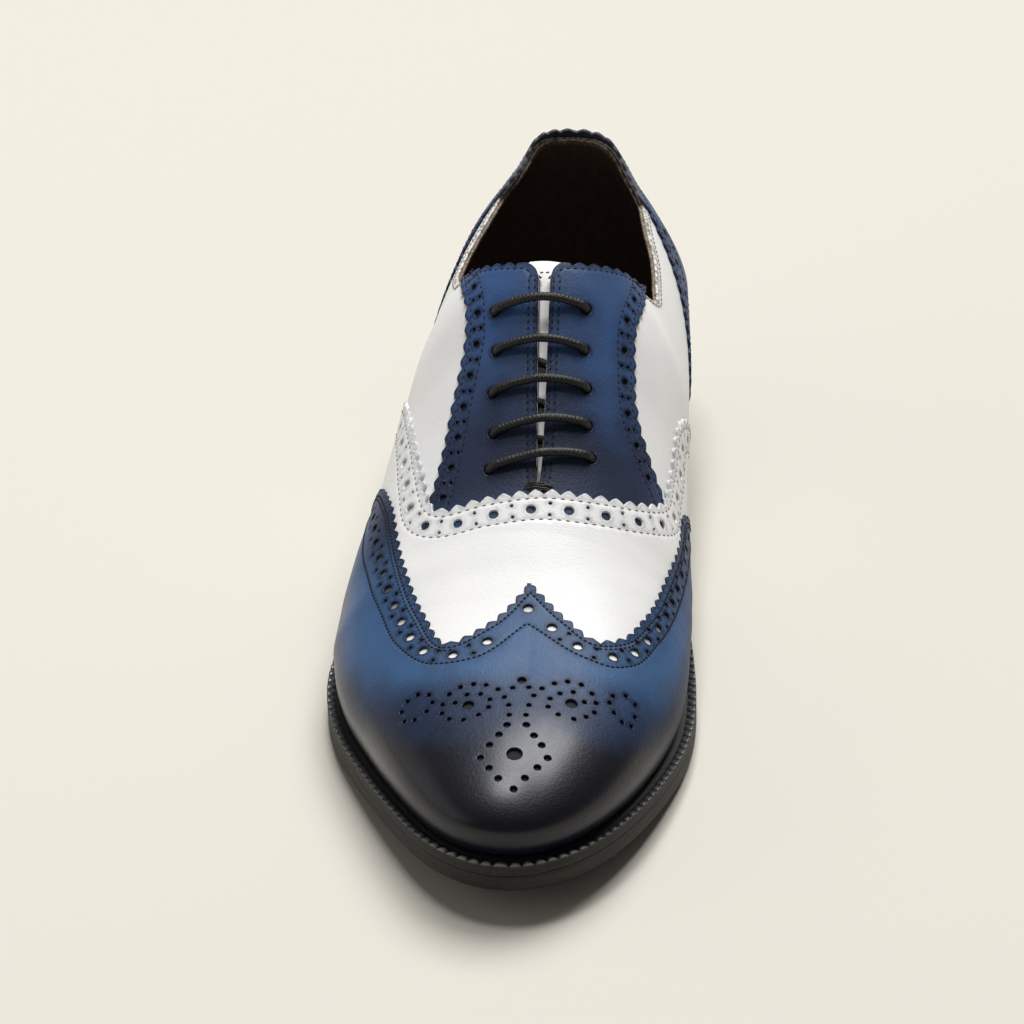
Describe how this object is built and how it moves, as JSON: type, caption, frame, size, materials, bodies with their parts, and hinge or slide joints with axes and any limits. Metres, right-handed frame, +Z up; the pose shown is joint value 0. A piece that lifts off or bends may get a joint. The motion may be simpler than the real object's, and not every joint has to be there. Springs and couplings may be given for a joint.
{
  "type": "spectator shoe",
  "caption": "Low lace-up wing-tip shoe in white and burnished blue leather, with a welted leather sole and a stacked heel, for the right foot.",
  "frame": {"origin": "bottom centre of the bounding box, on the floor under the middle of the shoe", "axes": "+Z up, -Y towards the toe, +X towards the medial side of this right shoe"},
  "size_m": [0.1128, 0.297, 0.1053],
  "materials": {
    "white_leather": "smooth white calf leather with a soft sheen",
    "blue_leather": "polished blue calf leather, burnished nearly black at the toe",
    "welt_leather": "black dyed leather with wheel marks",
    "sole_leather": "dark brown dyed and waxed edge",
    "lining_leather": "matt dark brown lining leather",
    "top_lift_rubber": "black rubber",
    "waxed_cord": "thin round waxed black lace"
  },
  "bodies": {
    "root": {"outsole": "sole_leather", "welt": "welt_leather", "heel_stack": "sole_leather", "top_lift": "top_lift_rubber", "insole": "lining_leather", "upper": "white_leather", "tongue": "white_leather", "vamp": "white_leather", "wing_cap": "blue_leather", "facing_lateral": "blue_leather", "facing_medial": "blue_leather", "counter": "blue_leather", "lace": "waxed_cord"}
  },
  "joints": []
}
